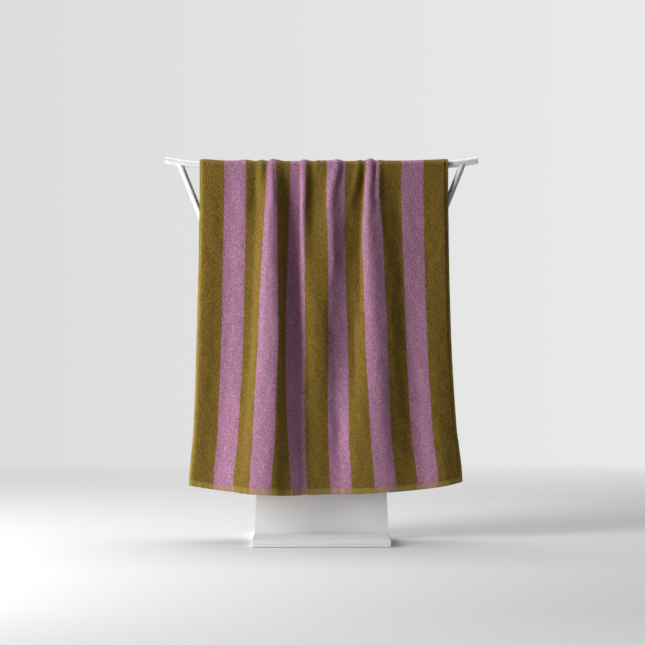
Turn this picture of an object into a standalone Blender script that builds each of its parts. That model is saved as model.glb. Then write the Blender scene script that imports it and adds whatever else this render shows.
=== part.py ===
"""A striped bath towel hanging over the rail of a free-standing display stand.

Metres, with +X to the right of someone facing the front, +Y away from them and +Z up.
The origin is on the floor, in the middle of the base plate's underside.

The towel is one sheet. A place on it has two coordinates: "across", from the left selvage
to the right one, and "down", the distance along the cloth from the top of the rail.
"""

import math

import bmesh
import bpy
import numpy as np
from mathutils import Vector

MM = 0.001
GAP = 0.3 * MM

# Stand: a base plate, an upright panel, two struts and a rail.
BASE_WIDTH, BASE_DEPTH, BASE_THICKNESS = 304 * MM, 240 * MM, 14 * MM
BASE_EDGE = 1.5 * MM
PANEL_FOOT_WIDTH, PANEL_TOP_WIDTH = 302 * MM, 271 * MM
PANEL_THICKNESS, PANEL_TOP = 6 * MM, 400 * MM
RAIL_RADIUS, RAIL_HEIGHT, RAIL_HALF_LENGTH = 8 * MM, 843 * MM, 353 * MM
RAIL_STRAIGHT_HALF, RAIL_BEND_RADIUS = 200 * MM, 870 * MM
RAIL_EDGE, RAIL_BEND_RINGS = 0.8 * MM, 9
RAIL_CUTTER_REACH = 60 * MM
STRUT_RADIUS, STRUT_TOP_X, STRUT_LEAN = 7 * MM, 321 * MM, 0.40
STRUT_FOOT = 360 * MM
ROUND_SIDES = 32
BAR_CREASE, TOWEL_CREASE = math.radians(35), math.radians(60)

# Towel: flat sizes, and how far it hangs down on each side.
TOWEL_WIDTH = 700 * MM
STRIPES, EDGE_STRIPE = 13, 58.5 * MM
FRONT_DROP, BACK_DROP = 756 * MM, 644 * MM
PILE_THICKNESS, HEM_THICKNESS = 4.0 * MM, 2.6 * MM
HEM_BAND, SELVAGE = 14 * MM, 6.5 * MM
FACET_ALLOWANCE = 0.2 * MM
BEND_RADIUS = RAIL_RADIUS + GAP + FACET_ALLOWANCE + PILE_THICKNESS / 2
QUARTER_TURN = BEND_RADIUS * math.pi / 2
HEM_SAG, HEM_LOWEST = 17 * MM, 320 * MM
FOLD_LIFT = 0.2
BACK_FOLD_SCALE = 0.75

# Columns and rows of the sheet's grid.
COLUMNS_PER_STRIPE = 4
RAIL_STEPS, FRONT_STEPS, BACK_STEPS = 5, 17, 13
ROW_CROWDING = 1.35

# Cross-sections: mm between samples, how much denser a stripe's gathers are in its middle
# than on average, and the least width that steep or gathered cloth takes, of its flat one.
SAMPLE_STEP, GATHER_PEAK = 2.5, 1.25
LEAST_SQUARED_WIDTH, LEAST_WIDTH = 0.06, 0.08

# Stations down the cloth, in mm: distance down, and the x of the two selvages there.
STATIONS = {
    #            down  left  right
    "rail":     (0,   -275,  286),
    "shoulder": (60,  -275,  286),
    "upper":    (180, -276,  287),
    "middle":   (400, -281,  292),
    "low":      (620, -288,  304),
    "hem":      (756, -298,  317),
}

# Crests and valleys, in mm: place across at the rail and at the hem, then how far the
# line stands out from the hanging plane at each station.
FOLDS = {
    #                at rail, at hem, rail, shoulder, upper, middle, low, hem
    "left_edge":     (0,     0,      1,    2,        3,       5,      7,   8),
    "left_roll":     (9,     9,      2,    4,        6,       9,      11,  12),
    "left_valley":   (70,    54,     1,    1,        2,       3,      6,   10),
    "left_step":     (110,   112,    3,    5,        7,       10,     20,  29),
    "left_dip":      (136,   124,    0,    0,        7,       12,     24,  34),
    "left_face":     (168,   164,    1,    11,       22,      31,     43,  49),
    "left_shelf":    (186,   186,    4,    16,       29,      40,     50,  56),
    "left_crest":    (201,   210,    5,    18,       30,      43,     53,  60),
    "left_fall":     (252,   264,    0,    4,        12,      24,     34,  45),
    "left_trough":   (282,   302,    0,    1,        5,       13,     22,  34),
    "middle_foot":   (300,   308,    0,    1,        4,       9,      18,  32),
    "middle_crest":  (317,   334,    4,    12,       17,      17,     17,  27),
    "middle_fall":   (340,   354,    0,    3,        14,      23,     18,  25),
    "ridge_foot":    (364,   372,    0,    3,        16,      20,     16,  23),
    "ridge":         (388,   386,    2,    11,       19,      13,     14,  22),
    "centre_trough": (410,   396,    1,    8,        14,      9,      11,  23),
    "right_step":    (430,   430,    0,    7,        8,       5,      23,  31),
    "right_dip":     (450,   444,    0,    4,        5,       4,      28,  33),
    "right_foot":    (475,   454,    0,    0,        2,       10,     30,  33),
    "right_lip":     (487,   486,    4,    10,       14,      20,     32,  33),
    "right_crest":   (498,   512,    6,    14,       20,      25,     33,  33),
    "right_fall":    (528,   555,    1,    8,        14,      18,     22,  25),
    "right_trough":  (586,   600,    1,    1,        2,       4,      9,   19),
    "right_swell":   (650,   648,    2,    2,        2,       7,      15,  25),
    "right_roll":    (691,   691,    1,    2,        3,       3,      6,   13),
    "right_edge":    (700,   700,    1,    1,        1,       1,      3,   9),
}

# Gathers, in mm: the width that is pressed together within each stripe, from the left one
# to the right one, at each station.
GATHERS = {
    #             rail, shoulder, upper, middle, low, hem
    "stripe_1":  (0,    0,        3,     1,      2,   2),
    "stripe_2":  (2,    2,        2,     2,      2,   3),
    "stripe_3":  (2,    2,        8,     12,     13,  11),
    "stripe_4":  (33,   29,       20,    6,      2,   3),
    "stripe_5":  (18,   20,       25,    33,     21,  7),
    "stripe_6":  (16,   11,       8,     4,      10,  15),
    "stripe_7":  (4,    0,        0,     0,      0,   0),
    "stripe_8":  (9,    9,        14,    7,      2,   2),
    "stripe_9":  (2,    0,        6,     9,      4,   1),
    "stripe_10": (22,   19,       5,     3,      5,   5),
    "stripe_11": (1,    0,        6,     7,      4,   3),
    "stripe_12": (1,    1,        4,     5,      3,   5),
    "stripe_13": (0,    0,        2,     3,      1,   0),
}

# Short pleats that start on the rail and die out below it, in mm. Each is highest a
# little below the rail, and pressed down to a share of that on top of it.
PLEATS = {
    #               at rail, at end, width, height, length
    "outer_left":   (150,    148,    24,    7,      110),
    "small_left":   (355,    340,    18,    3,      60),
    "small_right":  (370,    362,    16,    3,      70),
    "centre_left":  (358,    366,    28,    2,      160),
    "centre_right": (410,    388,    36,    8,      110),
    "leaning":      (467,    442,    26,    6,      120),
    "outer_right":  (536,    530,    24,    4,      190),
}
PLEAT_PRESSED, PLEAT_FULL_AT = 0.35, 35

WHITE = (0.78, 0.77, 0.75, 1.0)
OLIVE = (0.20, 0.135, 0.022, 1.0)
ORCHID = (0.40, 0.20, 0.34, 1.0)


def clear_scene():
    for thing in list(bpy.data.objects):
        bpy.data.objects.remove(thing)


def material(name, colour, roughness):
    made = bpy.data.materials.new(name)
    made.use_nodes = True
    shader = made.node_tree.nodes["Principled BSDF"]
    shader.inputs["Base Color"].default_value = colour
    shader.inputs["Roughness"].default_value = roughness
    shader.inputs["Metallic"].default_value = 0.0
    return made


def add_object(name, shape, materials, hidden=False):
    """Link a bmesh as an object, with its faces pointing out."""
    bmesh.ops.recalc_face_normals(shape, faces=shape.faces)
    mesh = bpy.data.meshes.new(name)
    shape.to_mesh(mesh)
    shape.free()
    for one in materials:
        mesh.materials.append(one)
    made = bpy.data.objects.new(name, mesh)
    made.hide_render = hidden
    if hidden:
        made.display_type = "WIRE"
    bpy.context.scene.collection.objects.link(made)
    return made


def shade_smooth(thing, angle=BAR_CREASE):
    thing.data.shade_smooth()
    thing.data.set_sharp_from_angle(angle=angle)


# ---------------------------------------------------------------- stand

def rail_height(x):
    """Height of the rail's centre line: level in the middle, bent up towards both ends."""
    beyond = np.maximum(np.abs(x) - RAIL_STRAIGHT_HALF, 0)
    return RAIL_HEIGHT + RAIL_BEND_RADIUS - np.sqrt(RAIL_BEND_RADIUS**2 - beyond**2)


def bar(centres, radii):
    """A round bar through centres in the XZ plane, one ring of points at each centre."""
    shape = bmesh.new()
    rings = []
    for index, (centre, radius) in enumerate(zip(centres, radii)):
        before = centres[max(index - 1, 0)]
        after = centres[min(index + 1, len(centres) - 1)]
        along = (after - before).normalized()
        side = Vector((0, 1, 0))
        up = along.cross(side)
        ring = []
        for step in range(ROUND_SIDES):
            turn = 2 * math.pi * step / ROUND_SIDES
            ring.append(shape.verts.new(centre + radius * (math.cos(turn) * up + math.sin(turn) * side)))
        rings.append(ring)
    for first, second in zip(rings, rings[1:]):
        for step in range(ROUND_SIDES):
            following = (step + 1) % ROUND_SIDES
            shape.faces.new((first[step], first[following], second[following], second[step]))
    shape.faces.new(rings[0])
    shape.faces.new(rings[-1])
    return shape


def make_rail(paint):
    bend_end = RAIL_HALF_LENGTH - RAIL_EDGE
    right = [RAIL_HALF_LENGTH, *np.linspace(bend_end, RAIL_STRAIGHT_HALF, RAIL_BEND_RINGS)]
    places = [-x for x in right] + right[::-1]
    centres = [Vector((x, 0, float(rail_height(x)))) for x in places]
    radii = [RAIL_RADIUS] * len(centres)
    radii[0] = radii[-1] = RAIL_RADIUS - RAIL_EDGE
    rail = add_object("rail", bar(centres, radii), [paint])
    shade_smooth(rail)


def plate_points(width_at_foot, width_at_top, foot, top, thickness):
    """The eight corners of an upright plate whose sides lean in."""
    corners = []
    for y in (-thickness / 2, thickness / 2):
        for width, z in ((width_at_foot, foot), (width_at_top, top)):
            corners.append((-width / 2, y, z))
            corners.append((width / 2, y, z))
    return corners


def plate(corners):
    shape = bmesh.new()
    front_foot_l, front_foot_r, front_top_l, front_top_r, foot_l, foot_r, top_l, top_r = (
        shape.verts.new(corner) for corner in corners
    )
    shape.faces.new((front_foot_l, front_foot_r, front_top_r, front_top_l))
    shape.faces.new((foot_r, foot_l, top_l, top_r))
    shape.faces.new((front_foot_r, foot_r, top_r, front_top_r))
    shape.faces.new((foot_l, front_foot_l, front_top_l, top_l))
    shape.faces.new((front_top_l, front_top_r, top_r, top_l))
    shape.faces.new((foot_l, foot_r, front_foot_r, front_foot_l))
    return shape


def make_panel(paint):
    foot = BASE_THICKNESS + GAP
    corners = plate_points(PANEL_FOOT_WIDTH, PANEL_TOP_WIDTH, foot, PANEL_TOP, PANEL_THICKNESS)
    add_object("upright_panel", plate(corners), [paint])


def make_base(paint):
    corners = plate_points(BASE_WIDTH, BASE_WIDTH, 0, BASE_THICKNESS, BASE_DEPTH)
    base = add_object("base_plate", plate(corners), [paint])
    edge = base.modifiers.new("rounded edges", "BEVEL")
    edge.width = BASE_EDGE
    edge.segments = 3
    shade_smooth(base)


def panel_cutter():
    """The panel, a gap larger all round."""
    corners = plate_points(
        PANEL_FOOT_WIDTH + 2 * GAP,
        PANEL_TOP_WIDTH + 2 * GAP,
        BASE_THICKNESS,
        PANEL_TOP + GAP,
        PANEL_THICKNESS + 2 * GAP,
    )
    return add_object("panel_cutter", plate(corners), [], hidden=True)


def rail_cutter(name, side):
    """A short length of the rail above one strut, a gap larger all round."""
    slope = (STRUT_TOP_X - RAIL_STRAIGHT_HALF) / RAIL_BEND_RADIUS
    height = float(rail_height(STRUT_TOP_X))
    ends = [
        Vector((side * (STRUT_TOP_X + along), 0, height + along * slope))
        for along in (-RAIL_CUTTER_REACH, RAIL_CUTTER_REACH)
    ]
    return add_object(name, bar(ends, [RAIL_RADIUS + GAP] * 2), [], hidden=True)


def cut(thing, cutter):
    step = thing.modifiers.new("fit to " + cutter.name, "BOOLEAN")
    step.operation = "DIFFERENCE"
    step.object = cutter


def make_strut(name, side, slot, paint):
    """A leaning bar from under the rail to a slot over one of the panel's top corners."""
    height = float(rail_height(STRUT_TOP_X))
    foot_x = STRUT_TOP_X - STRUT_LEAN * (height - STRUT_FOOT)
    ends = [Vector((side * foot_x, 0, STRUT_FOOT)), Vector((side * STRUT_TOP_X, 0, height))]
    strut = add_object(name, bar(ends, [STRUT_RADIUS] * 2), [paint])
    cut(strut, rail_cutter(name + "_rail_cutter", side))
    cut(strut, slot)
    shade_smooth(strut)


# ---------------------------------------------------------------- towel

def smooth(places, values, at):
    """A soft curve through the values: level at each high and low, and never past them."""
    places = np.asarray(places, float)
    values = np.asarray(values, float)
    run = np.diff(places)
    rise = np.diff(values) / run
    tangent = np.zeros(len(places))
    for k in range(1, len(run)):
        if rise[k - 1] * rise[k] > 0:
            before = 2 * run[k] + run[k - 1]
            after = run[k] + 2 * run[k - 1]
            tangent[k] = (before + after) / (before / rise[k - 1] + after / rise[k])
    k = np.clip(np.searchsorted(places, at) - 1, 0, len(run) - 1)
    t = np.clip((at - places[k]) / run[k], 0, 1)
    ease = t * t * (3 - 2 * t)
    lead = t * (1 - t) ** 2
    trail = t * t * (t - 1)
    start = values[k] * (1 - ease) + values[k + 1] * ease
    return start + run[k] * (tangent[k] * lead + tangent[k + 1] * trail)


STATION_DOWN = [row[0] for row in STATIONS.values()]


def at_station(values, down):
    """A table row's six station values, read at any distance down. All in mm."""
    return float(smooth(STATION_DOWN, values, np.array(down)))


def bump(across, centre, width):
    """A rounded ridge of height 1."""
    t = np.clip(np.abs(across - centre) / (width / 2), 0, 1)
    return (1 - t * t) ** 2


def stripe_edges():
    """Places across of the edges of the stripes, with both selvages."""
    inner = np.linspace(EDGE_STRIPE, TOWEL_WIDTH - EDGE_STRIPE, STRIPES - 1)
    return np.concatenate([[0], inner, [TOWEL_WIDTH]])


def fold_depth(across, down):
    """How far the cloth stands out from the hanging plane, in mm, at one distance down."""
    share = down / STATION_DOWN[-1]
    places = [row[0] + (row[1] - row[0]) * share for row in FOLDS.values()]
    depths = [at_station(row[2:], down) for row in FOLDS.values()]
    depth = smooth(places, depths, across)
    for at_rail, at_end, width, height, length in PLEATS.values():
        left = max(1 - down / length, 0)
        centre = at_end + (at_rail - at_end) * left
        risen = PLEAT_PRESSED + (1 - PLEAT_PRESSED) * min(down / PLEAT_FULL_AT, 1)
        depth = depth + height * risen * left * bump(across, centre, width)
    return depth


def cross_section(across, down):
    """x and depth, in mm, of places across the cloth at one distance down.

    The cloth isn't stretched: where it stands at an angle or is gathered, it takes less
    width. What is left over evens out between the two selvages.
    """
    fine = np.arange(0, TOWEL_WIDTH / MM + SAMPLE_STEP / 2, SAMPLE_STEP)
    depth = fold_depth(fine, down)
    slope = np.gradient(depth, SAMPLE_STEP)
    width = np.sqrt(np.maximum(1 - slope**2, LEAST_SQUARED_WIDTH))
    edges = stripe_edges() / MM
    for start, end, pressed in zip(edges[:-1], edges[1:], GATHERS.values()):
        t = np.clip((fine - start) / (end - start), 0, 1)
        width -= at_station(pressed, down) * GATHER_PEAK * (1 - (2 * t - 1) ** 4) / (end - start)
    width = np.maximum(width, LEAST_WIDTH)
    reached = np.concatenate([[0], np.cumsum((width[1:] + width[:-1]) / 2)])
    left = at_station([row[1] for row in STATIONS.values()], down)
    right = at_station([row[2] for row in STATIONS.values()], down)
    x = left + (right - left) * reached / reached[-1]
    return np.interp(across, fine, x), np.interp(across, fine, depth)


def drape_row(across, down):
    """World points of one row of the middle surface. Down is negative behind the rail."""
    distance = abs(down)
    outward = -1 if down >= 0 else 1
    x, depth = cross_section(across / MM, distance / MM)
    x = x * MM
    if down < 0:
        depth = depth * fold_scale_behind(distance)
    reach = BEND_RADIUS + depth * MM
    turn = min(distance / BEND_RADIUS, math.pi / 2)
    hanging = max(distance - QUARTER_TURN, 0)
    y = outward * reach * math.sin(turn)
    z = rail_height(x) + reach * math.cos(turn) - hanging
    return np.stack([x, y, z], axis=-1)


def drape_side(across, downs):
    """Rows from the top of the rail to one hem.

    A column that stands out in a fold takes a longer way. The cloth gives a little, and
    the rest of that extra length lifts the hem there. The sheet also hangs lowest near its
    middle, and higher towards both selvages.
    """
    side = np.array([drape_row(across, down) for down in downs])
    total = abs(downs[-1])
    length = np.linalg.norm(np.diff(side, axis=0), axis=-1).sum(axis=0)
    from_lowest = (across - HEM_LOWEST) / (TOWEL_WIDTH / 2)
    lift = FOLD_LIFT * (length - total) + HEM_SAG * from_lowest**2
    share = np.maximum(np.abs(downs) - QUARTER_TURN, 0) / (total - QUARTER_TURN)
    side[..., 2] += share[:, None] * lift[None, :]
    return side


def fold_scale_behind(distance):
    """Folds are as deep on both sides of the rail at first, and shallower further behind."""
    t = min(distance / (STATIONS["upper"][0] * MM), 1)
    return 1 + (BACK_FOLD_SCALE - 1) * t * t * (3 - 2 * t)


def stripe_columns():
    """Places across: stripe edges, even steps between them, and the two selvage lines."""
    steps = np.arange(STRIPES * COLUMNS_PER_STRIPE + 1) / COLUMNS_PER_STRIPE
    places = np.interp(steps, np.arange(STRIPES + 1), stripe_edges())
    return np.sort(np.append(places, [SELVAGE, TOWEL_WIDTH - SELVAGE]))


def rows_down(drop, steps):
    """Distances down one side, from the top of the rail: close together near it, and one
    at the hem band."""
    over = np.linspace(0, QUARTER_TURN, RAIL_STEPS + 1)
    share = (np.arange(1, steps + 1) / steps) ** ROW_CROWDING
    return np.concatenate([over, QUARTER_TURN + (drop - HEM_BAND - QUARTER_TURN) * share, [drop]])


def drape(columns):
    """All rows of the middle surface from the front hem to the hem behind, and how far
    down each of them is."""
    front = rows_down(FRONT_DROP, FRONT_STEPS)
    behind = -rows_down(BACK_DROP, BACK_STEPS)
    points = np.concatenate([drape_side(columns, front)[::-1], drape_side(columns, behind)[1:]])
    return points, np.concatenate([front[::-1], behind[1:]])


def thickness_grid(columns, rows):
    """Pile thickness, with thinner flat selvages and hem bands."""
    at_selvage = (columns < SELVAGE / 2) | (columns > TOWEL_WIDTH - SELVAGE / 2)
    at_hem = (rows > FRONT_DROP - HEM_BAND / 2) | (rows < HEM_BAND / 2 - BACK_DROP)
    thin = at_selvage[None, :] | at_hem[:, None]
    return np.where(thin, HEM_THICKNESS, PILE_THICKNESS)


def surface_normals(points):
    """Unit normals of a grid of points, pointing away from the stand."""
    normal = np.cross(np.gradient(points, axis=1), np.gradient(points, axis=0))
    return normal / np.linalg.norm(normal, axis=-1, keepdims=True)


def closed_sheet(outer, inner):
    """A closed solid between two grids of points: both faces and the four edges."""
    shape = bmesh.new()
    out = [[shape.verts.new(point) for point in row] for row in outer]
    within = [[shape.verts.new(point) for point in row] for row in inner]
    rows, columns = len(out), len(out[0])
    for i in range(rows - 1):
        for j in range(columns - 1):
            stripe = face_stripe(j)
            for grid in (out, within):
                corners = (grid[i][j], grid[i][j + 1], grid[i + 1][j + 1], grid[i + 1][j])
                shape.faces.new(corners).material_index = stripe
        for j in (0, columns - 1):
            shape.faces.new((out[i][j], out[i + 1][j], within[i + 1][j], within[i][j]))
    for i in (0, rows - 1):
        for j in range(columns - 1):
            side = shape.faces.new((out[i][j], out[i][j + 1], within[i][j + 1], within[i][j]))
            side.material_index = face_stripe(j)
    return shape


def face_stripe(column):
    """0 for an olive stripe and 1 for an orchid one. The selvage lines add a column each."""
    cell = min(max(column - 1, 0), STRIPES * COLUMNS_PER_STRIPE - 1)
    return cell // COLUMNS_PER_STRIPE % 2


def make_towel(olive, orchid):
    columns = stripe_columns()
    middle, rows = drape(columns)
    offset = surface_normals(middle) * thickness_grid(columns, rows)[..., None] / 2
    towel = add_object("towel", closed_sheet(middle + offset, middle - offset), [olive, orchid])
    shade_smooth(towel, TOWEL_CREASE)


def main():
    clear_scene()
    paint = material("white_paint", WHITE, 0.45)
    make_base(paint)
    make_panel(paint)
    slot = panel_cutter()
    make_strut("strut_left", -1, slot, paint)
    make_strut("strut_right", 1, slot, paint)
    make_rail(paint)
    make_towel(material("olive_terry", OLIVE, 0.95), material("orchid_terry", ORCHID, 0.95))


main()
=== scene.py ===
"""Looks of the striped bath towel on its display stand.

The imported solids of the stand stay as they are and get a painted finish. The towel's solid
is replaced by a finer sheet of the same shape, with terry pile, flat selvages and hems.

Metres, with +X to the right of someone facing the front, +Y away from them and +Z up. A place
on the towel has two coordinates: "across", from the left selvage to the right one, and
"down", the distance along the cloth from the top of the rail, negative behind it.
"""

import math

import bpy
import numpy as np
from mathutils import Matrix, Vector


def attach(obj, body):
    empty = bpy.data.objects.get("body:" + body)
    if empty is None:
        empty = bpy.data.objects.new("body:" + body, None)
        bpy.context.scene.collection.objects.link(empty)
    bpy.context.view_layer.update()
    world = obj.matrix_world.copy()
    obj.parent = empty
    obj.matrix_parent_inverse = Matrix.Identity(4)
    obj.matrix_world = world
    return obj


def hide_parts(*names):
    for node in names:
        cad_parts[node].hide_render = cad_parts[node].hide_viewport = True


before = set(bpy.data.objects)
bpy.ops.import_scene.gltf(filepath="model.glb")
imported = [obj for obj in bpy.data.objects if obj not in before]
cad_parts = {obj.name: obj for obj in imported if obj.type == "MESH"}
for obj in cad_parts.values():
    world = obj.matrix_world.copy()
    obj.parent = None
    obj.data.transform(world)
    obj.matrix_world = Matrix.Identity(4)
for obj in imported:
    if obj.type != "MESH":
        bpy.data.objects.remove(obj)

MM = 0.001

# ---------------------------------------------------------------- the towel's shape

# The rail that it hangs over, and the flat sizes, as in the solid model.
GAP = 0.3 * MM
RAIL_RADIUS, RAIL_HEIGHT = 8 * MM, 843 * MM
RAIL_STRAIGHT_HALF, RAIL_BEND_RADIUS = 200 * MM, 870 * MM
TOWEL_WIDTH = 700 * MM
STRIPES, EDGE_STRIPE = 13, 58.5 * MM
FRONT_DROP, BACK_DROP = 756 * MM, 644 * MM
PILE_THICKNESS, HEM_THICKNESS = 4.0 * MM, 2.6 * MM
HEM_BAND, SELVAGE = 14 * MM, 6.5 * MM
FACET_ALLOWANCE = 0.2 * MM
BEND_RADIUS = RAIL_RADIUS + GAP + FACET_ALLOWANCE + PILE_THICKNESS / 2
QUARTER_TURN = BEND_RADIUS * math.pi / 2
HEM_SAG, HEM_LOWEST = 17 * MM, 320 * MM
FOLD_LIFT = 0.2
BACK_FOLD_SCALE = 0.75

# Cross-sections: mm between samples, how much denser a stripe's gathers are in its middle
# than on average, and the least width that steep or gathered cloth takes, of its flat one.
SAMPLE_STEP, GATHER_PEAK = 2.5, 1.25
LEAST_SQUARED_WIDTH, LEAST_WIDTH = 0.06, 0.08

# Stations down the cloth, in mm: distance down, and the x of the two selvages there.
STATIONS = {
    #            down  left  right
    "rail":     (0,   -275,  286),
    "shoulder": (60,  -275,  286),
    "upper":    (180, -276,  287),
    "middle":   (400, -281,  292),
    "low":      (620, -288,  304),
    "hem":      (756, -298,  317),
}

# Crests and valleys, in mm: place across at the rail and at the hem, then how far the
# line stands out from the hanging plane at each station.
FOLDS = {
    #                at rail, at hem, rail, shoulder, upper, middle, low, hem
    "left_edge":     (0,     0,      1,    2,        3,       5,      7,   8),
    "left_roll":     (9,     9,      2,    4,        6,       9,      11,  12),
    "left_valley":   (70,    54,     1,    1,        2,       3,      6,   10),
    "left_step":     (110,   112,    3,    5,        7,       10,     20,  29),
    "left_dip":      (136,   124,    0,    0,        7,       12,     24,  34),
    "left_face":     (168,   164,    1,    11,       22,      31,     43,  49),
    "left_shelf":    (186,   186,    4,    16,       29,      40,     50,  56),
    "left_crest":    (201,   210,    5,    18,       30,      43,     53,  60),
    "left_fall":     (252,   264,    0,    4,        12,      24,     34,  45),
    "left_trough":   (282,   302,    0,    1,        5,       13,     22,  34),
    "middle_foot":   (300,   308,    0,    1,        4,       9,      18,  32),
    "middle_crest":  (317,   334,    4,    12,       17,      17,     17,  27),
    "middle_fall":   (340,   354,    0,    3,        14,      23,     18,  25),
    "ridge_foot":    (364,   372,    0,    3,        16,      20,     16,  23),
    "ridge":         (388,   386,    2,    11,       19,      13,     14,  22),
    "centre_trough": (410,   396,    1,    8,        14,      9,      11,  23),
    "right_step":    (430,   430,    0,    7,        8,       5,      23,  31),
    "right_dip":     (450,   444,    0,    4,        5,       4,      28,  33),
    "right_foot":    (475,   454,    0,    0,        2,       10,     30,  33),
    "right_lip":     (487,   486,    4,    10,       14,      20,     32,  33),
    "right_crest":   (498,   512,    6,    14,       20,      25,     33,  33),
    "right_fall":    (528,   555,    1,    8,        14,      18,     22,  25),
    "right_trough":  (586,   600,    1,    1,        2,       4,      9,   19),
    "right_swell":   (650,   648,    2,    2,        2,       7,      15,  25),
    "right_roll":    (691,   691,    1,    2,        3,       3,      6,   13),
    "right_edge":    (700,   700,    1,    1,        1,       1,      3,   9),
}

# Gathers, in mm: the width that is pressed together within each stripe, from the left one
# to the right one, at each station.
GATHERS = {
    #             rail, shoulder, upper, middle, low, hem
    "stripe_1":  (0,    0,        3,     1,      2,   2),
    "stripe_2":  (2,    2,        2,     2,      2,   3),
    "stripe_3":  (2,    2,        8,     12,     13,  11),
    "stripe_4":  (33,   29,       20,    6,      2,   3),
    "stripe_5":  (18,   20,       25,    33,     21,  7),
    "stripe_6":  (16,   11,       8,     4,      10,  15),
    "stripe_7":  (4,    0,        0,     0,      0,   0),
    "stripe_8":  (9,    9,        14,    7,      2,   2),
    "stripe_9":  (2,    0,        6,     9,      4,   1),
    "stripe_10": (22,   19,       5,     3,      5,   5),
    "stripe_11": (1,    0,        6,     7,      4,   3),
    "stripe_12": (1,    1,        4,     5,      3,   5),
    "stripe_13": (0,    0,        2,     3,      1,   0),
}

# Short pleats that start on the rail and die out below it, in mm. Each is highest a
# little below the rail, and pressed down to a share of that on top of it.
PLEATS = {
    #               at rail, at end, width, height, length
    "outer_left":   (150,    148,    24,    7,      110),
    "small_left":   (355,    340,    18,    3,      60),
    "small_right":  (370,    362,    16,    3,      70),
    "centre_left":  (358,    366,    28,    2,      160),
    "centre_right": (410,    388,    36,    8,      110),
    "leaning":      (467,    442,    26,    6,      120),
    "outer_right":  (536,    530,    24,    4,      190),
}
PLEAT_PRESSED, PLEAT_FULL_AT = 0.35, 35

STATION_DOWN = [row[0] for row in STATIONS.values()]

# The fine sheet's grid: distances between its lines, and the places of those near each
# outer edge and within the hem bands, measured from the edge.
COLUMN_STEP, ROW_STEP, RAIL_ROW_STEP = 5.0 * MM, 5.6 * MM, 2.6 * MM
EDGE_LINES = np.array([0, 0.25, 0.8, 1.6]) * MM
HEM_LINES = HEM_BAND * np.array([0.75, 0.5, 0.25])

# The pile stops over a short slope, and the outer edges round off to a thin rim, which
# keeps a share of the thickness, given squared.
STEP_WIDTH = 1.0 * MM
EDGE_ROUNDING, RIM_SQUARED_SHARE = 1.3 * MM, 0.02

# Dents in the middle surface: from none on the rail to full height some way below it.
DENT_HEIGHT, DENT_FULL_AT = 0.45 * MM, 60 * MM
DENT_SHORTEST, DENT_LONGEST = 16 * MM, 60 * MM
DENT_SEED, DENT_WAVES = 5, 48


def smooth(places, values, at):
    """A soft curve through the values: level at each high and low, and never past them."""
    places = np.asarray(places, float)
    values = np.asarray(values, float)
    run = np.diff(places)
    rise = np.diff(values) / run
    tangent = np.zeros(len(places))
    for k in range(1, len(run)):
        if rise[k - 1] * rise[k] > 0:
            before = 2 * run[k] + run[k - 1]
            after = run[k] + 2 * run[k - 1]
            tangent[k] = (before + after) / (before / rise[k - 1] + after / rise[k])
    k = np.clip(np.searchsorted(places, at) - 1, 0, len(run) - 1)
    t = np.clip((at - places[k]) / run[k], 0, 1)
    ease = t * t * (3 - 2 * t)
    lead = t * (1 - t) ** 2
    trail = t * t * (t - 1)
    start = values[k] * (1 - ease) + values[k + 1] * ease
    return start + run[k] * (tangent[k] * lead + tangent[k + 1] * trail)


def at_station(values, down):
    """A table row's six station values, read at any distance down. All in mm."""
    return float(smooth(STATION_DOWN, values, np.array(down)))


def bump(across, centre, width):
    """A rounded ridge of height 1."""
    t = np.clip(np.abs(across - centre) / (width / 2), 0, 1)
    return (1 - t * t) ** 2


def stripe_edges():
    """Places across of the edges of the stripes, with both selvages."""
    inner = np.linspace(EDGE_STRIPE, TOWEL_WIDTH - EDGE_STRIPE, STRIPES - 1)
    return np.concatenate([[0], inner, [TOWEL_WIDTH]])


def fold_depth(across, down):
    """How far the cloth stands out from the hanging plane, in mm, at one distance down."""
    share = down / STATION_DOWN[-1]
    places = [row[0] + (row[1] - row[0]) * share for row in FOLDS.values()]
    depths = [at_station(row[2:], down) for row in FOLDS.values()]
    depth = smooth(places, depths, across)
    for at_rail, at_end, width, height, length in PLEATS.values():
        left = max(1 - down / length, 0)
        centre = at_end + (at_rail - at_end) * left
        risen = PLEAT_PRESSED + (1 - PLEAT_PRESSED) * min(down / PLEAT_FULL_AT, 1)
        depth = depth + height * risen * left * bump(across, centre, width)
    return depth


def cross_section(across, down):
    """x and depth, in mm, of places across the cloth at one distance down.

    The cloth isn't stretched: where it stands at an angle or is gathered, it takes less
    width. What is left over evens out between the two selvages.
    """
    fine = np.arange(0, TOWEL_WIDTH / MM + SAMPLE_STEP / 2, SAMPLE_STEP)
    depth = fold_depth(fine, down)
    slope = np.gradient(depth, SAMPLE_STEP)
    width = np.sqrt(np.maximum(1 - slope**2, LEAST_SQUARED_WIDTH))
    edges = stripe_edges() / MM
    for start, end, pressed in zip(edges[:-1], edges[1:], GATHERS.values()):
        t = np.clip((fine - start) / (end - start), 0, 1)
        width -= at_station(pressed, down) * GATHER_PEAK * (1 - (2 * t - 1) ** 4) / (end - start)
    width = np.maximum(width, LEAST_WIDTH)
    reached = np.concatenate([[0], np.cumsum((width[1:] + width[:-1]) / 2)])
    left = at_station([row[1] for row in STATIONS.values()], down)
    right = at_station([row[2] for row in STATIONS.values()], down)
    x = left + (right - left) * reached / reached[-1]
    return np.interp(across, fine, x), np.interp(across, fine, depth)


def rail_height(x):
    """Height of the rail's centre line: level in the middle, bent up towards both ends."""
    beyond = np.maximum(np.abs(x) - RAIL_STRAIGHT_HALF, 0)
    return RAIL_HEIGHT + RAIL_BEND_RADIUS - np.sqrt(RAIL_BEND_RADIUS**2 - beyond**2)


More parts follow.
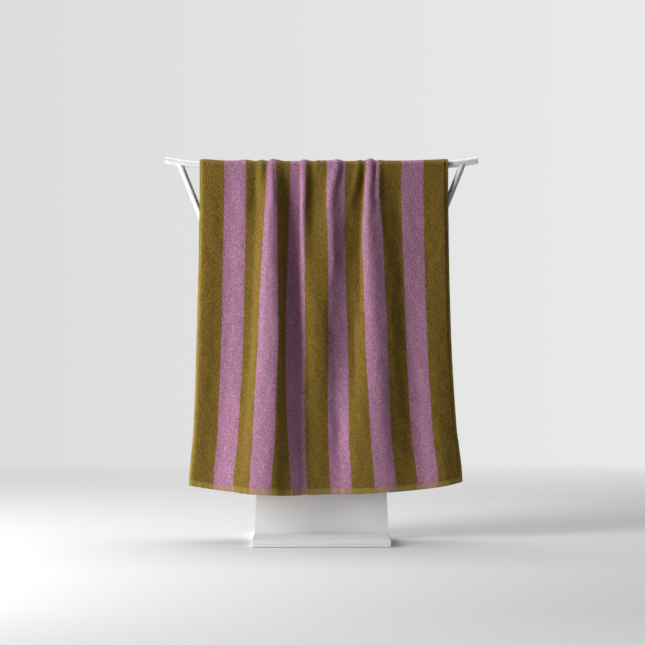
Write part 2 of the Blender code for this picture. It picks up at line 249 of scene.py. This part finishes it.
def fold_scale_behind(distance):
    """Folds are as deep on both sides of the rail at first, and shallower further behind."""
    t = min(distance / (STATIONS["upper"][0] * MM), 1)
    return 1 + (BACK_FOLD_SCALE - 1) * t * t * (3 - 2 * t)


def drape_row(across, down):
    """World points of one row of the middle surface. Down is negative behind the rail."""
    distance = abs(down)
    outward = -1 if down >= 0 else 1
    x, depth = cross_section(across / MM, distance / MM)
    x = x * MM
    if down < 0:
        depth = depth * fold_scale_behind(distance)
    reach = BEND_RADIUS + depth * MM
    turn = min(distance / BEND_RADIUS, math.pi / 2)
    hanging = max(distance - QUARTER_TURN, 0)
    y = outward * reach * math.sin(turn)
    z = rail_height(x) + reach * math.cos(turn) - hanging
    return np.stack([x, y, z], axis=-1)


def drape_side(across, downs):
    """Rows from the top of the rail to one hem.

    A column that stands out in a fold takes a longer way. The cloth gives a little, and
    the rest of that extra length lifts the hem there. The sheet also hangs lowest near its
    middle, and higher towards both selvages.
    """
    side = np.array([drape_row(across, down) for down in downs])
    total = abs(downs[-1])
    length = np.linalg.norm(np.diff(side, axis=0), axis=-1).sum(axis=0)
    from_lowest = (across - HEM_LOWEST) / (TOWEL_WIDTH / 2)
    lift = FOLD_LIFT * (length - total) + HEM_SAG * from_lowest**2
    share = np.maximum(np.abs(downs) - QUARTER_TURN, 0) / (total - QUARTER_TURN)
    side[..., 2] += share[:, None] * lift[None, :]
    return side


def evenly(start, end, step):
    """Places from start to end, both included, about a step apart."""
    return np.linspace(start, end, max(int(round((end - start) / step)), 1) + 1)


def around_pile_end(place):
    """Two lines, one at each side of the slope where the pile stops."""
    return place + np.array([-1, 1]) * STEP_WIDTH / 2


def fine_columns():
    """Places across: even steps over the pile, and closer lines where the pile stops and
    where the selvages round off."""
    left = np.concatenate([EDGE_LINES, [SELVAGE / 2], around_pile_end(SELVAGE)])
    inside = evenly(left[-1], TOWEL_WIDTH - left[-1], COLUMN_STEP)
    return np.unique(np.concatenate([left, inside, TOWEL_WIDTH - left]).round(7))


def fine_rows(drop):
    """Distances down one side: close together over the rail, even steps down the pile, and
    closer lines at the hem band and its edge."""
    over = evenly(0, 2 * QUARTER_TURN, RAIL_ROW_STEP)
    hem = np.concatenate([around_pile_end(drop - HEM_BAND), drop - HEM_LINES, drop - EDGE_LINES])
    down = evenly(over[-1], hem[0], ROW_STEP)
    return np.unique(np.concatenate([over, down, hem]).round(7))


def surface_normals(points):
    """Unit normals of a grid of points, pointing away from the stand."""
    normal = np.cross(np.gradient(points, axis=1), np.gradient(points, axis=0))
    return normal / np.linalg.norm(normal, axis=-1, keepdims=True)


def from_selvage(columns):
    """Distance of places across from the nearer selvage."""
    return np.minimum(columns, TOWEL_WIDTH - columns)


def from_hem(rows):
    """Distance of places down from the hem on their side of the rail."""
    return np.where(rows >= 0, FRONT_DROP - rows, BACK_DROP + rows)


def soft_step(x):
    """0 to 1 as x goes from -0.5 to 0.5, with soft ends."""
    t = np.clip(x + 0.5, 0, 1)
    return t * t * (3 - 2 * t)


def half_thickness(columns, rows):
    """Half the thickness at each grid place: full pile inside, thinner flat selvages and hem
    bands, and rounded outer edges."""
    side, end = from_selvage(columns)[None, :], from_hem(rows)[:, None]
    pile = soft_step((side - SELVAGE) / STEP_WIDTH) * soft_step((end - HEM_BAND) / STEP_WIDTH)
    body = HEM_THICKNESS + (PILE_THICKNESS - HEM_THICKNESS) * pile
    rounding = np.clip(1 - np.minimum(side, end) / EDGE_ROUNDING, 0, 1)
    return body / 2 * np.sqrt(np.maximum(1 - rounding**2, RIM_SQUARED_SHARE))


def dents(columns, rows):
    """Soft irregular dents, about -1 to 1, from a few dozen plane waves."""
    random = np.random.default_rng(DENT_SEED)
    total = np.zeros((len(rows), len(columns)))
    for _ in range(DENT_WAVES):
        length = random.uniform(DENT_SHORTEST, DENT_LONGEST)
        heading = random.uniform(0, 2 * math.pi)
        phase = random.uniform(0, 2 * math.pi)
        along = columns[None, :] * math.cos(heading) + rows[:, None] * math.sin(heading)
        total += np.sin(2 * math.pi * along / length + phase)
    return total / math.sqrt(DENT_WAVES)


# ---------------------------------------------------------------- meshes

def add_to_scene(name, data):
    """A new object that shows this mesh, light or camera."""
    made = bpy.data.objects.new(name, data)
    bpy.context.scene.collection.objects.link(made)
    return made


def mesh_object(name, points, faces, materials, face_material, uvs):
    """A smooth object from numpy arrays. The uvs are in metres of cloth, one for each point."""
    mesh = bpy.data.meshes.new(name)
    mesh.from_pydata(points, [], faces)
    for one in materials:
        mesh.materials.append(one)
    mesh.polygons.foreach_set("material_index", face_material)
    layer = mesh.uv_layers.new(name="cloth")
    corner = np.empty(len(mesh.loops), int)
    mesh.loops.foreach_get("vertex_index", corner)
    layer.data.foreach_set("uv", uvs[corner].astype(np.float32).ravel())
    mesh.shade_smooth()
    return add_to_scene(name, mesh)


def grid_faces(rows, columns, first, outward):
    """Quads over a grid of points, whose first point's index is given. They face away from
    the stand, or towards it if outward is False."""
    corner = first + np.arange(rows * columns).reshape(rows, columns)
    quads = np.stack([corner[:-1, :-1], corner[:-1, 1:], corner[1:, 1:], corner[1:, :-1]], axis=-1)
    quads = quads.reshape(-1, 4)
    return quads if outward else quads[:, ::-1]


def rim_faces(rows, columns):
    """Quads round the border, between two grids whose points follow one another."""
    grid = np.arange(rows * columns).reshape(rows, columns)
    border = np.concatenate([grid[0, :-1], grid[:-1, -1], grid[-1, :0:-1], grid[:0:-1, 0]])
    following, other = np.roll(border, -1), rows * columns
    return np.stack([border, border + other, following + other, following], axis=-1)


def flat_faces(columns, rows):
    """1 for the quads in the flat selvages and hem bands, and 0 for those in the pile."""
    column, row = (columns[:-1] + columns[1:]) / 2, (rows[:-1] + rows[1:]) / 2
    flat = (from_selvage(column)[None, :] < SELVAGE) | (from_hem(row)[:, None] < HEM_BAND)
    return flat.ravel().astype(int)


def make_cloth(materials):
    """The towel as one closed sheet. Materials are pile and flat weave."""
    columns = fine_columns()
    front, behind = fine_rows(FRONT_DROP), -fine_rows(BACK_DROP)
    rows = np.concatenate([front[::-1], behind[1:]])
    middle = np.concatenate([drape_side(columns, front)[::-1], drape_side(columns, behind)[1:]])
    normal = surface_normals(middle)
    free = np.clip((np.abs(rows) - QUARTER_TURN) / DENT_FULL_AT, 0, 1)[:, None]
    uneven = DENT_HEIGHT * dents(columns, rows) * free
    middle = middle + normal * uneven[..., None]
    offset = normal * half_thickness(columns, rows)[..., None]
    points = np.concatenate([(middle + offset).reshape(-1, 3), (middle - offset).reshape(-1, 3)])
    size = len(rows), len(columns)
    outer = grid_faces(*size, first=0, outward=True)
    inner = grid_faces(*size, first=len(rows) * len(columns), outward=False)
    rim = rim_faces(*size)
    flat = flat_faces(columns, rows)
    u, v = np.meshgrid(columns, rows + BACK_DROP)
    uv = np.stack([u.ravel(), v.ravel()], axis=-1)
    return mesh_object(
        "towel_cloth",
        points,
        np.concatenate([outer, inner, rim]),
        materials,
        np.concatenate([flat, flat, np.ones(len(rim), int)]),
        np.concatenate([uv, uv]),
    )


# ---------------------------------------------------------------- materials

# Colours are linear red, green and blue: the lit tips of the loops, and the cloth between them darkened
# by painted shade.
OLIVE, OLIVE_PAINTED_SHADE = (0.350, 0.237, 0.034), (0.130, 0.060, 0.003)
ORCHID, ORCHID_PAINTED_SHADE = (0.625, 0.345, 0.535), (0.255, 0.082, 0.135)
OLIVE_FLAT, ROSE_FLAT = (0.400, 0.280, 0.050), (0.520, 0.300, 0.220)
PAINTED_SHADE_BROWN = (0.210, 0.095, 0.040)
PAINT = (0.93, 0.925, 0.915)
STRIPE_PITCH, STRIPE_SLACK = (TOWEL_WIDTH - 2 * EDGE_STRIPE) / (STRIPES - 2), 0.01
TOWEL_LENGTH = FRONT_DROP + BACK_DROP

# Noise lies mostly between these two values.
NOISE_LOW, NOISE_HIGH = 0.3, 0.7

# A loop of the pile: its size, the shares of it where its side ends and its top starts, how light its
# foot is under painted shade, and the range of lightness from loop to loop.
LOOP, LOOP_SIDE, LOOP_TOP = 2.1 * MM, 0.75, 0.1
LOOP_FOOT_PAINTED_SHADE, LOOP_TONES = 0.45, (0.30, 1.15)

# Clumps of loops and larger worn places, with their ranges of brightness. A stripe's edge
# wanders between the loops.
CLUMP, CLUMP_TONES = 3.4 * MM, (0.95, 1.05)
WORN, WORN_TONES = 45 * MM, (0.96, 1.04)
WANDER, WANDER_SIZE = 3.2 * MM, 3.2 * MM
PILE_RELIEF, LOOP_HEIGHT, CLUMP_HEIGHT = 1.2 * MM, 0.7, 0.36

# Flat weave: ribs along the towel, picks across it, and streaks that are long down the towel.
RIB, PICK = 0.9 * MM, 0.7 * MM
STREAK, STREAK_SQUEEZE, STREAK_TONES = 4.5 * MM, 0.06, (0.72, 1.10)
WEAVE_RELIEF, RIB_HEIGHT, PICK_HEIGHT, STREAK_HEIGHT = 0.25 * MM, 0.5, 0.3, 2.0

# Painted shade in brown along the hem's edge, where the cloth turns under: strong up to one distance
# from it, and gone by the next. The same brown comes back faintly over the last stretch before the pile,
# as a painted shadow of the pile's end, but not along the selvages above.
EDGE_SHADE_STRONG, EDGE_SHADE_GONE, EDGE_SHADE_SHARE = 1.0 * MM, 1.8 * MM, 0.7
PILE_SHADOW_WIDTH, PILE_SHADOW_SHARE, PILE_SHADOW_SLACK = 1.6 * MM, 0.45, 0.2 * MM

# Paint: soft clouds with their ranges of brightness and roughness, and a fine orange peel.
CLOUD, PAINT_TONES, PAINT_ROUGHNESS = 90 * MM, (0.98, 1.01), (0.47, 0.53)
PEEL, PEEL_RELIEF = 1.6 * MM, 0.012 * MM


def new_material(name, colour, roughness):
    """A new material and its Principled shader."""
    made = bpy.data.materials.new(name)
    made.use_nodes = True
    shader = made.node_tree.nodes["Principled BSDF"]
    shader.inputs["Base Color"].default_value = (*colour, 1)
    shader.inputs["Roughness"].default_value = roughness
    made.diffuse_color = (*colour, 1)
    return made, shader


def add(tree, kind, **settings):
    """A new shader node with these settings."""
    node = tree.nodes.new("ShaderNode" + kind)
    for key, value in settings.items():
        setattr(node, key, value)
    return node


def plug(tree, socket, value):
    """Link a socket to a node's output, or set it to a number or a colour."""
    if isinstance(value, bpy.types.NodeSocket):
        tree.links.new(value, socket)
    elif isinstance(value, tuple) and socket.type == "RGBA":
        socket.default_value = (*value, 1)
    else:
        socket.default_value = value


def calc(tree, operation, *values):
    """One Math node."""
    node = add(tree, "Math", operation=operation)
    for socket, value in zip(node.inputs, values):
        plug(tree, socket, value)
    return node.outputs[0]


def clamp_range(tree, value, low, high, to_low=0.0, to_high=1.0):
    """Map low..high to to_low..to_high and stay inside."""
    node = add(tree, "MapRange")
    for name, number in (("From Min", low), ("From Max", high), ("To Min", to_low), ("To Max", to_high)):
        node.inputs[name].default_value = number
    plug(tree, node.inputs["Value"], value)
    return node.outputs[0]


def spread(tree, value, to_low=0.0, to_high=1.0):
    """Map noise's usual range to to_low..to_high."""
    return clamp_range(tree, value, NOISE_LOW, NOISE_HIGH, to_low, to_high)


def mix(tree, factor, first, second, blend="MIX"):
    """Mix two colours. The node's colour sockets are found by number, because a Mix node has
    sockets of the same names for numbers and vectors too."""
    node = add(tree, "Mix", data_type="RGBA", blend_type=blend)
    plug(tree, node.inputs[0], factor)
    plug(tree, node.inputs[6], first)
    plug(tree, node.inputs[7], second)
    return node.outputs[2]


def brightened(tree, colour, gain):
    """The colour times a number."""
    grey = add(tree, "CombineColor")
    for socket in grey.inputs:
        plug(tree, socket, gain)
    return mix(tree, 1.0, colour, grey.outputs[0], "MULTIPLY")


def cloth_place(tree):
    """The cloth's coordinates in metres, as a vector and as across and down. Down starts at
    the hem behind here."""
    coordinates = add(tree, "UVMap", uv_map="cloth").outputs[0]
    parts = add(tree, "SeparateXYZ")
    plug(tree, parts.inputs[0], coordinates)
    return coordinates, parts.outputs[0], parts.outputs[1]


def scaled(tree, vector, x, y):
    """The vector with its first two parts scaled."""
    node = add(tree, "Mapping")
    plug(tree, node.inputs["Vector"], vector)
    node.inputs["Scale"].default_value = (x, y, 1)
    return node.outputs[0]


def noise(tree, vector, size, detail=2.0):
    """Noise around 0.5 whose features are about a size across, in metres."""
    node = add(tree, "TexNoise")
    plug(tree, node.inputs["Vector"], vector)
    node.inputs["Scale"].default_value = 1 / size
    node.inputs["Detail"].default_value = detail
    return node.outputs[0]


def cells(tree, vector, size):
    """Scattered points about a size apart: the distance to the nearest one, in sizes, and a
    random colour for each."""
    node = add(tree, "TexVoronoi", feature="F1")
    plug(tree, node.inputs["Vector"], vector)
    node.inputs["Scale"].default_value = 1 / size
    node.inputs["Randomness"].default_value = 0.8
    return node.outputs["Distance"], node.outputs["Color"]


def add_bump(tree, shader, height, distance):
    """Relief in the shader's normal: a height of 1 stands out by this distance."""
    node = add(tree, "Bump")
    node.inputs["Strength"].default_value = 1.0
    node.inputs["Distance"].default_value = distance
    plug(tree, node.inputs["Height"], height)
    plug(tree, shader.inputs["Normal"], node.outputs[0])


def stripe_mask(tree, across):
    """1 in an orchid stripe and 0 in an olive one.

    Places are counted in stripes from the left edge stripe's inner edge. Both edge stripes
    are wider than the rest, so a place further out is moved to just inside them.
    """
    place = calc(tree, "DIVIDE", calc(tree, "SUBTRACT", across, EDGE_STRIPE), STRIPE_PITCH)
    ends = STRIPE_SLACK - 1, STRIPES - 1 - STRIPE_SLACK
    place = clamp_range(tree, place, *ends, *ends)
    return calc(tree, "LESS_THAN", calc(tree, "FLOORED_MODULO", place, 2.0), 1.0)


def weighted(tree, first, first_weight, second, second_weight):
    """The sum of two numbers, each times its weight."""
    first = calc(tree, "MULTIPLY", first, first_weight)
    second = calc(tree, "MULTIPLY", second, second_weight)
    return calc(tree, "ADD", first, second)


def terry_material():
    """Loop pile: small round loops, each of its own tone, with painted shade darkening the cloth between
    them, in loose clumps. The stripes' edges are ragged."""
    made, shader = new_material("terry_pile", OLIVE, 0.75)
    tree = made.node_tree
    vector, across, _ = cloth_place(tree)
    from_loop, loop_colour = cells(tree, vector, LOOP)
    clumps = noise(tree, vector, CLUMP)
    worn = noise(tree, vector, WORN, detail=3.0)
    aside = calc(tree, "SUBTRACT", noise(tree, vector, WANDER_SIZE), 0.5)
    orchid = stripe_mask(tree, calc(tree, "ADD", across, calc(tree, "MULTIPLY", aside, WANDER)))
    top = clamp_range(tree, from_loop, LOOP_SIDE, LOOP_TOP)
    chance = add(tree, "SeparateColor")
    plug(tree, chance.inputs[0], loop_colour)
    tone = clamp_range(tree, chance.outputs[0], 0, 1, *LOOP_TONES)
    # Each loop's own random tone, times painted shade towards its foot, mixes the painted shade colour
    # between the loops with the lit tip colour.
    light = calc(tree, "MULTIPLY", tone, clamp_range(tree, top, 0, 1, LOOP_FOOT_PAINTED_SHADE, 1))
    painted_shade = mix(tree, orchid, OLIVE_PAINTED_SHADE, ORCHID_PAINTED_SHADE)
    colour = mix(tree, light, painted_shade, mix(tree, orchid, OLIVE, ORCHID))
    gain = calc(tree, "MULTIPLY", spread(tree, clumps, *CLUMP_TONES), spread(tree, worn, *WORN_TONES))
    plug(tree, shader.inputs["Base Color"], brightened(tree, colour, gain))
    add_bump(tree, shader, weighted(tree, top, LOOP_HEIGHT, clumps, CLUMP_HEIGHT), PILE_RELIEF)
    shader.inputs["Sheen Weight"].default_value = 0.10
    shader.inputs["Sheen Roughness"].default_value = 0.45
    shader.inputs["Specular IOR Level"].default_value = 0.2
    return made


def flat_weave_material():
    """Selvages and hem bands: fine ribs along the towel, streaky, with brown painted shade at the hem's
    edge and a brown painted shadow before the pile."""
    made, shader = new_material("flat_weave", OLIVE_FLAT, 0.85)
    tree = made.node_tree
    vector, across, down = cloth_place(tree)
    streaks = noise(tree, scaled(tree, vector, 1.0, STREAK_SQUEEZE), STREAK, detail=4.0)
    colour = mix(tree, stripe_mask(tree, across), OLIVE_FLAT, ROSE_FLAT)
    colour = brightened(tree, colour, spread(tree, streaks, *STREAK_TONES))
    from_end = calc(tree, "MINIMUM", down, calc(tree, "SUBTRACT", TOWEL_LENGTH, down))
    # Painted shade in brown along both hem edges.
    edge_painted_shade = clamp_range(tree, from_end, EDGE_SHADE_STRONG, EDGE_SHADE_GONE, EDGE_SHADE_SHARE, 0.0)
    colour = mix(tree, edge_painted_shade, colour, PAINTED_SHADE_BROWN)
    # A painted shadow of the pile's end, in the same brown, over the hem band's last stretch before the
    # pile.
    pile_painted_shadow = clamp_range(tree, from_end, HEM_BAND - PILE_SHADOW_WIDTH, HEM_BAND, 0.0, PILE_SHADOW_SHARE)
    in_band = calc(tree, "LESS_THAN", from_end, HEM_BAND + PILE_SHADOW_SLACK)
    pile_painted_shadow = calc(tree, "MULTIPLY", pile_painted_shadow, in_band)
    plug(tree, shader.inputs["Base Color"], mix(tree, pile_painted_shadow, colour, PAINTED_SHADE_BROWN))
    ribs = calc(tree, "SINE", calc(tree, "MULTIPLY", across, 2 * math.pi / RIB))
    picks = calc(tree, "SINE", calc(tree, "MULTIPLY", down, 2 * math.pi / PICK))
    weave = weighted(tree, ribs, RIB_HEIGHT, picks, PICK_HEIGHT)
    height = calc(tree, "ADD", weave, calc(tree, "MULTIPLY", streaks, STREAK_HEIGHT))
    add_bump(tree, shader, height, WEAVE_RELIEF)
    shader.inputs["Sheen Weight"].default_value = 0.15
    shader.inputs["Specular IOR Level"].default_value = 0.2
    return made


def paint_material():
    """Satin white powder coat: a fine orange peel and faint unevenness."""
    made, shader = new_material("white_powder_coat", PAINT, 0.5)
    tree = made.node_tree
    place = add(tree, "TexCoord").outputs["Object"]
    cloudy = noise(tree, place, CLOUD, detail=3.0)
    darker, lighter = (tuple(part * tone for part in PAINT) for tone in PAINT_TONES)
    plug(tree, shader.inputs["Base Color"], mix(tree, spread(tree, cloudy), darker, lighter))
    plug(tree, shader.inputs["Roughness"], spread(tree, cloudy, *PAINT_ROUGHNESS))
    add_bump(tree, shader, noise(tree, place, PEEL), PEEL_RELIEF)
    return made


# ---------------------------------------------------------------- floor, lights and camera

# The floor lies just under the base plate, so that the plate throws a thin shadow line. It
# fades out between these distances from the middle, before its edges.
FLOOR = (0.82, 0.82, 0.82)
FLOOR_HALF_WIDTH, FLOOR_HALF_DEPTH, FLOOR_LEVEL = 2.1, 1.8, -0.001
FADE_BESIDE, FADE_BEHIND = (1.6, 2.0), (0.8, 1.7)

# Behind the floor, one grey blends into the other between these x parts of a direction. The
# background lights nothing, and the ambient light is separate.
BACKGROUND_LEFT, BACKGROUND_RIGHT = (0.715, 0.718, 0.715), (0.815, 0.818, 0.812)
BACKGROUND_BLEND = (-0.22, 0.22)
AMBIENT = 0.02

# Sizes are width and height, and powers are in watts. The key light is placed by its angles
# and distance from its target: degrees to the left of the front, and up.
KEY_TARGET, KEY_AZIMUTH, KEY_ELEVATION = (0, 0, 0.50), 67, 13
KEY_DISTANCE, KEY_SIZE, KEY_POWER = 2.3, (0.7, 1.8), 67
OVERHEAD_PLACE, OVERHEAD_TARGET = (0.1, 0.5, 3.2), (0.1, 0.5, 0)
OVERHEAD_SIZE, OVERHEAD_POWER = (3.0, 1.2), 63
BACK_PLACE, BACK_TARGET = (0, 1.7, 2.4), (0, 1.8, 0)
BACK_SIZE, BACK_POWER = (4.0, 1.2), 9
CAMERA_PLACE, CAMERA_LENS = (0.0023, -3.2, 0.4897), 78.9


def make_floor():
    """A pale floor that fades into the background before its edges."""
    made, shader = new_material("studio_floor", FLOOR, 0.8)
    shader.inputs["Specular IOR Level"].default_value = 0.2
    tree = made.node_tree
    place = add(tree, "SeparateXYZ")
    plug(tree, place.inputs[0], add(tree, "TexCoord").outputs["Object"])
    beside = clamp_range(tree, calc(tree, "ABSOLUTE", place.outputs[0]), *FADE_BESIDE, 1, 0)
    behind = clamp_range(tree, calc(tree, "ABSOLUTE", place.outputs[1]), *FADE_BEHIND, 1, 0)
    plug(tree, shader.inputs["Alpha"], calc(tree, "MULTIPLY", behind, beside))
    mesh = bpy.data.meshes.new("studio_floor")
    around = ((-1, -1), (1, -1), (1, 1), (-1, 1))
    corners = [(x * FLOOR_HALF_WIDTH, y * FLOOR_HALF_DEPTH, FLOOR_LEVEL) for x, y in around]
    mesh.from_pydata(corners, [], [(0, 1, 2, 3)])
    mesh.materials.append(made)
    floor = add_to_scene("studio_floor", mesh)


def make_world():
    """A light grey background, lighter to the right, and a much weaker ambient light."""
    world = bpy.data.worlds.new("studio")
    bpy.context.scene.world = world
    world.use_nodes = True
    tree = world.node_tree
    tree.nodes.clear()
    direction = add(tree, "SeparateXYZ")
    plug(tree, direction.inputs[0], add(tree, "TexCoord").outputs["Generated"])
    to_right = clamp_range(tree, direction.outputs[0], *BACKGROUND_BLEND)
    seen = add(tree, "Background")
    plug(tree, seen.inputs["Color"], mix(tree, to_right, BACKGROUND_LEFT, BACKGROUND_RIGHT))
    ambient = add(tree, "Background")
    ambient.inputs["Strength"].default_value = AMBIENT
    choice = add(tree, "MixShader")
    plug(tree, choice.inputs[0], add(tree, "LightPath").outputs["Is Camera Ray"])
    plug(tree, choice.inputs[1], ambient.outputs[0])
    plug(tree, choice.inputs[2], seen.outputs[0])
    output = add(tree, "OutputWorld")
    plug(tree, output.inputs["Surface"], choice.outputs[0])


def area_light(name, place, target, size, power):
    """A rectangular light that shines from its place towards its target."""
    light = bpy.data.lights.new(name, "AREA")
    light.shape = "RECTANGLE"
    light.size, light.size_y = size
    light.energy = power
    made = add_to_scene(name, light)
    made.location = place
    made.rotation_euler = (Vector(target) - Vector(place)).to_track_quat("-Z", "Y").to_euler()


def make_lights():
    """A key light far to the left and a little above, a wide soft one overhead, just behind
    the towel so that its folds stay dark, and a weak one for the floor behind."""
    across, up = math.radians(KEY_AZIMUTH), math.radians(KEY_ELEVATION)
    away = Vector((-math.sin(across) * math.cos(up), -math.cos(across) * math.cos(up), math.sin(up)))
    place = Vector(KEY_TARGET) + KEY_DISTANCE * away
    area_light("key", place, KEY_TARGET, KEY_SIZE, KEY_POWER)
    area_light("overhead", OVERHEAD_PLACE, OVERHEAD_TARGET, OVERHEAD_SIZE, OVERHEAD_POWER)
    area_light("floor_behind", BACK_PLACE, BACK_TARGET, BACK_SIZE, BACK_POWER)


def make_camera():
    """A long lens straight in front, about level with the towel's middle."""
    camera = bpy.data.cameras.new("camera")
    camera.lens = CAMERA_LENS
    camera.sensor_width = 36
    made = add_to_scene("camera", camera)
    made.location = CAMERA_PLACE
    made.rotation_euler = (math.pi / 2, 0, 0)
    bpy.context.scene.camera = made


def paint_stand():
    """The stand's own solids stay and get the paint."""
    paint = paint_material()
    for name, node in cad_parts.items():
        if name != "towel":
            node.data.materials.clear()
            node.data.materials.append(paint)


def main():
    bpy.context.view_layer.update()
    paint_stand()
    towel = make_cloth([terry_material(), flat_weave_material()])
    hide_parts("towel")
    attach(towel, "root")
    make_floor()
    make_world()
    make_lights()
    make_camera()
    bpy.context.scene.view_settings.view_transform = "Standard"


main()
